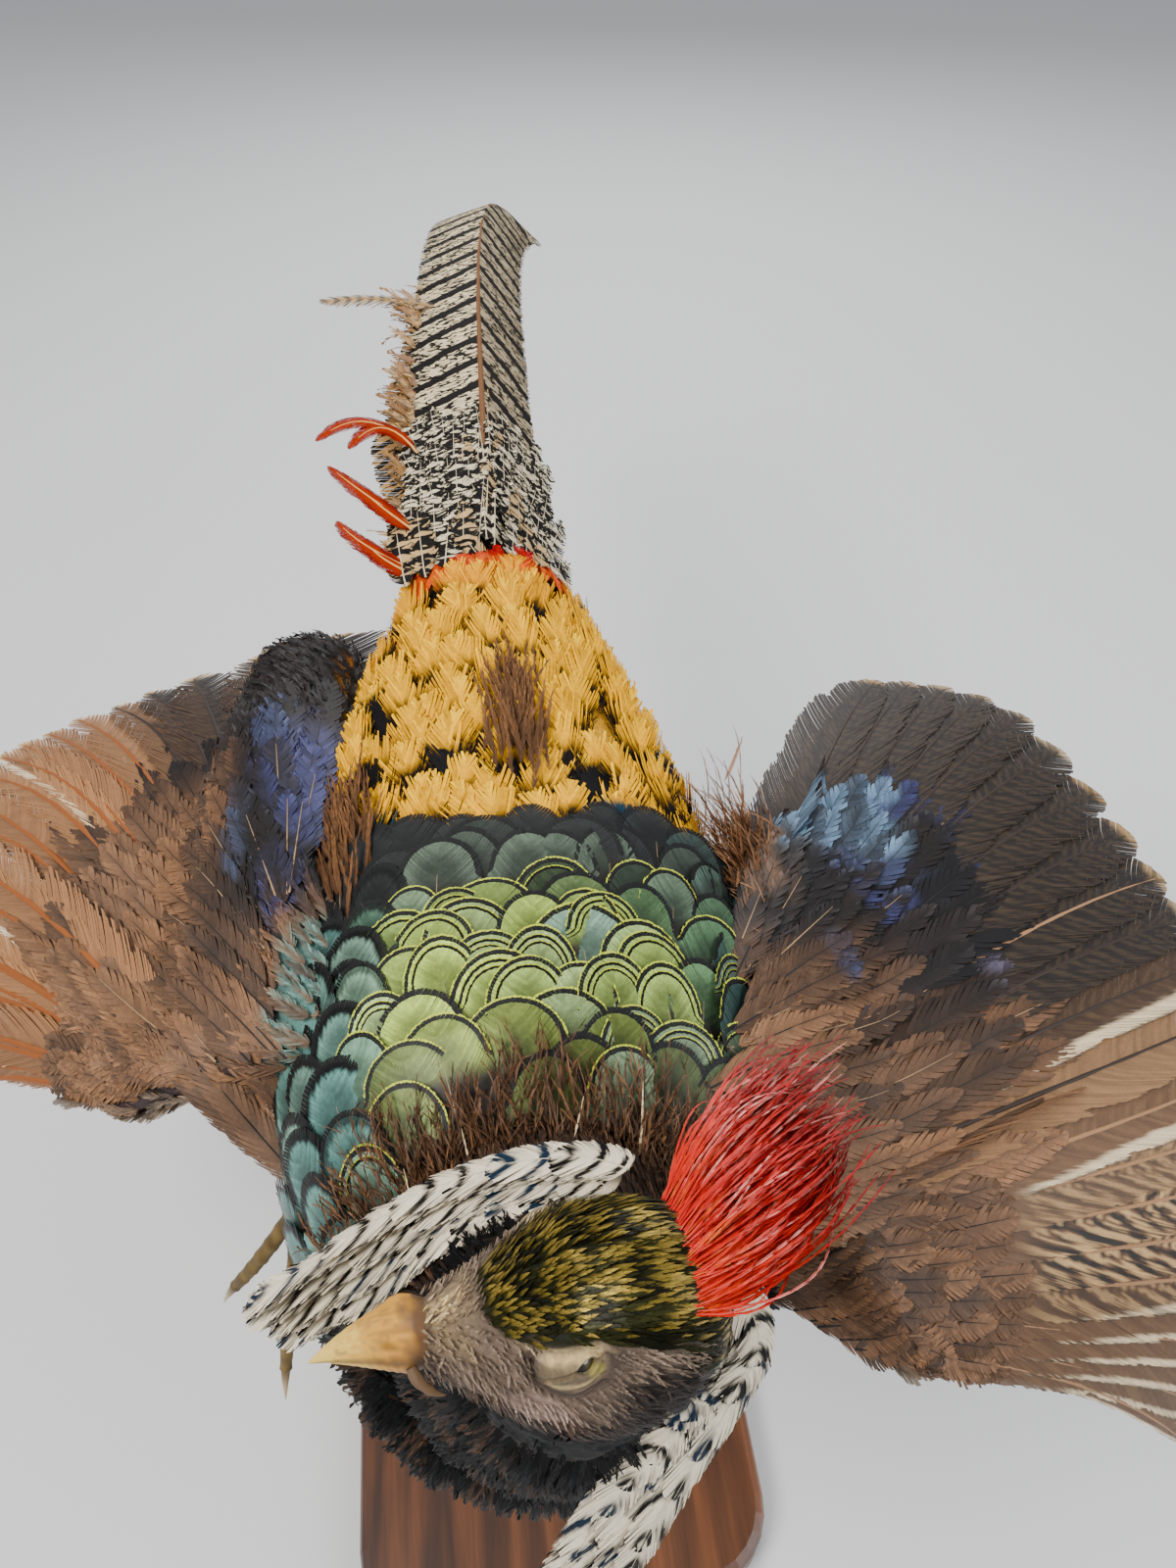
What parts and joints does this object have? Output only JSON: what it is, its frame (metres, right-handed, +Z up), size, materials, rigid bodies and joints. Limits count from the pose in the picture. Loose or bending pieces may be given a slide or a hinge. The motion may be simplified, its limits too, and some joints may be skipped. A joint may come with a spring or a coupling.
{
  "type": "mounted pheasant",
  "caption": "Life-size mounted Lady Amherst's pheasant cock in flight, wings spread, head turned to its right, on a plain stand.",
  "frame": {"origin": "middle of the underside of the stand's base", "axes": "+Z up; the bird faces -Y, its tail points along +Y and its left wing along +X; the head is turned so that the bill points along -X"},
  "size_m": [0.4942, 0.7731, 0.3996],
  "materials": {
    "mantle_green": "glossy iridescent feathers",
    "breast_black": "glossy black feathers",
    "face_grey": "dusty skin and short down",
    "bill_horn": "satin horn",
    "eye_olive": "glossy",
    "crest_red": "hair-like feathers",
    "cape_white": "barred feathers",
    "wing_blue": "glossy feathers",
    "wing_brown": "worn matt feathers",
    "tail_barred": "barred feathers",
    "covert_orange": "satin feathers",
    "leg_down": "down",
    "foot_scale": "satin scales",
    "claw_horn": "satin horn",
    "stand_wood": "satin varnish",
    "stand_steel": "brushed"
  },
  "bodies": {
    "root": {"trunk": "mantle_green", "neck": "breast_black", "head": "face_grey", "bill_upper": "bill_horn", "bill_lower": "bill_horn", "eye_left": "eye_olive", "eye_right": "eye_olive", "crest": "crest_red", "cape_left": "cape_white", "cape_right": "cape_white", "wing_left_arm": "wing_blue", "wing_right_arm": "wing_blue", "wing_left_hand": "wing_brown", "wing_left_primaries": "wing_brown", "wing_left_secondaries": "wing_brown", "wing_right_hand": "wing_brown", "wing_right_primaries": "wing_brown", "wing_right_secondaries": "wing_brown", "tail_centre": "tail_barred", "tail_left": "tail_barred", "tail_right": "tail_barred", "tail_coverts": "tail_barred", "tail_undercoverts": "tail_barred", "tail_stray_feather": "tail_barred", "covert_orange_1": "covert_orange", "covert_orange_2": "covert_orange", "covert_orange_3": "covert_orange", "leg_left": "leg_down", "leg_right": "leg_down", "foot_left": "foot_scale", "foot_right": "foot_scale", "claw_left_1": "claw_horn", "claw_left_2": "claw_horn", "claw_left_3": "claw_horn", "claw_left_4": "claw_horn", "claw_right_1": "claw_horn", "claw_right_2": "claw_horn", "claw_right_3": "claw_horn", "claw_right_4": "claw_horn", "stand_base": "stand_wood", "stand_rod": "stand_steel"}
  },
  "joints": []
}
